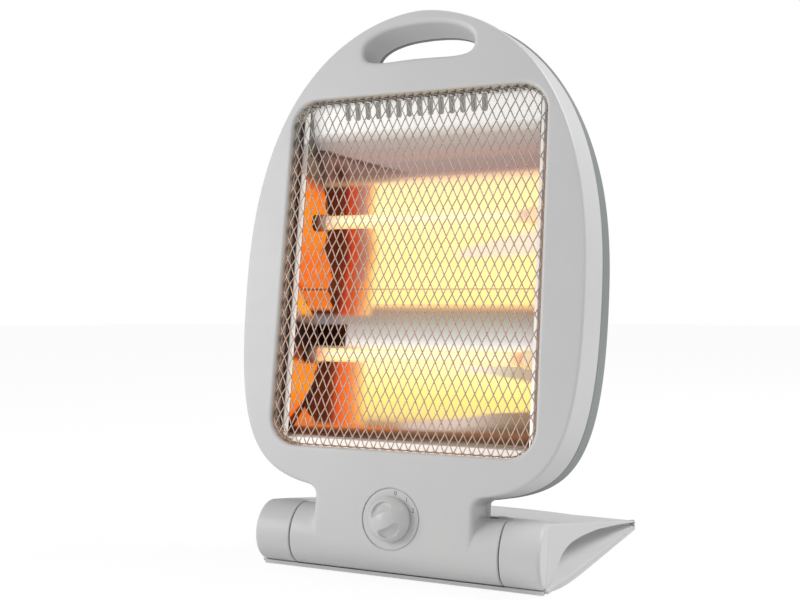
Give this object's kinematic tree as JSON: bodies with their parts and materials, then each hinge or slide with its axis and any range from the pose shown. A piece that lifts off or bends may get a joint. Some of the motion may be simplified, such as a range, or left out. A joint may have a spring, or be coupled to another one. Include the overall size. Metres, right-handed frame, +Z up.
{
  "type": "quartz tube heater",
  "caption": "Tabletop quartz heater: a flat egg-shaped head with a wire grille, heating tubes and a curved reflector that tilts on a wedge-shaped stand.",
  "frame": {"origin": "middle of the heater's footprint, on the floor the rubber feet stand on", "axes": "+Z up, the grille faces -Y, +X is the right-hand side seen from the front"},
  "size_m": [0.2584, 0.2374, 0.3899],
  "materials": {
    "shell_grey": "fine satin, light grey",
    "cover_grey": "satin, mid grey",
    "floor_grey": "satin, mid grey",
    "grille_wire": "bright plated net",
    "bright_sheet": "bright rolled sheet",
    "quartz": "clear quartz, lit from inside",
    "glowing_wire": "hot resistance wire",
    "ceramic": "glazed ceramic",
    "plated_steel": "zinc plated",
    "spring_steel": "bare spring steel",
    "black_plastic": "matt black",
    "brass": "bare brass",
    "knob_grey": "satin to gloss, light grey",
    "rubber_black": "matt black",
    "lead_sleeve": "woven heat-proof sleeve",
    "plunger_white": "smooth, off-white"
  },
  "bodies": {
    "stand": {"stand_top": "shell_grey", "floor_plate": "floor_grey", "hinge_sleeves": "plated_steel", "wave_washers": "spring_steel", "retaining_rings": "spring_steel", "stand_screws": "plated_steel", "rubber_feet": "rubber_black", "tip_switch_body": "black_plastic", "tip_spring": "spring_steel", "tip_switch_lead": "lead_sleeve"},
    "head": {"front_shell": "shell_grey", "rear_cover": "cover_grey", "grille": "grille_wire", "grille_rim": "grille_wire", "reflector": "bright_sheet", "end_plate_left": "bright_sheet", "end_plate_right": "bright_sheet", "quartz_tube_lower": "quartz", "quartz_tube_upper": "quartz", "heating_coil_lower": "glowing_wire", "heating_coil_upper": "glowing_wire", "ceramic_caps_left": "ceramic", "ceramic_caps_right": "ceramic", "cap_retainers_left": "plated_steel", "cap_retainers_right": "plated_steel", "heat_shield": "plated_steel", "thermal_cutout": "black_plastic", "dial_plate": "shell_grey", "switch_body": "black_plastic", "switch_terminals": "brass", "switch_nut": "plated_steel", "terminal_block": "ceramic", "cord_gland": "rubber_black", "leads_left": "lead_sleeve", "leads_right": "lead_sleeve", "switch_lead": "lead_sleeve", "shell_screws": "plated_steel", "reflector_screws": "plated_steel"},
    "control": {"knob": "knob_grey", "switch_shaft": "plated_steel"},
    "plunger": {"tip_plunger": "plunger_white"}
  },
  "joints": [
    {"name": "head_tilt", "type": "hinge", "parent": "stand", "child": "head", "pos_m": [0, -0.08826, 0.0232], "axis": [1, 0, 0], "range_deg": [-16, 8]},
    {"name": "knob_turn", "type": "hinge", "parent": "head", "child": "control", "pos_m": [0, -0.1062, 0.04213], "axis": [0, -0.9885, 0.1513], "range_deg": [0, 56]},
    {"name": "plunger_slide", "type": "slide", "parent": "stand", "child": "plunger", "axis": [0, 0, -1], "range_m": [0, 0.0035], "stiffness_N_per_m": 150, "springref_m": 0.0045, "deforming": ["tip_spring"]}
  ]
}
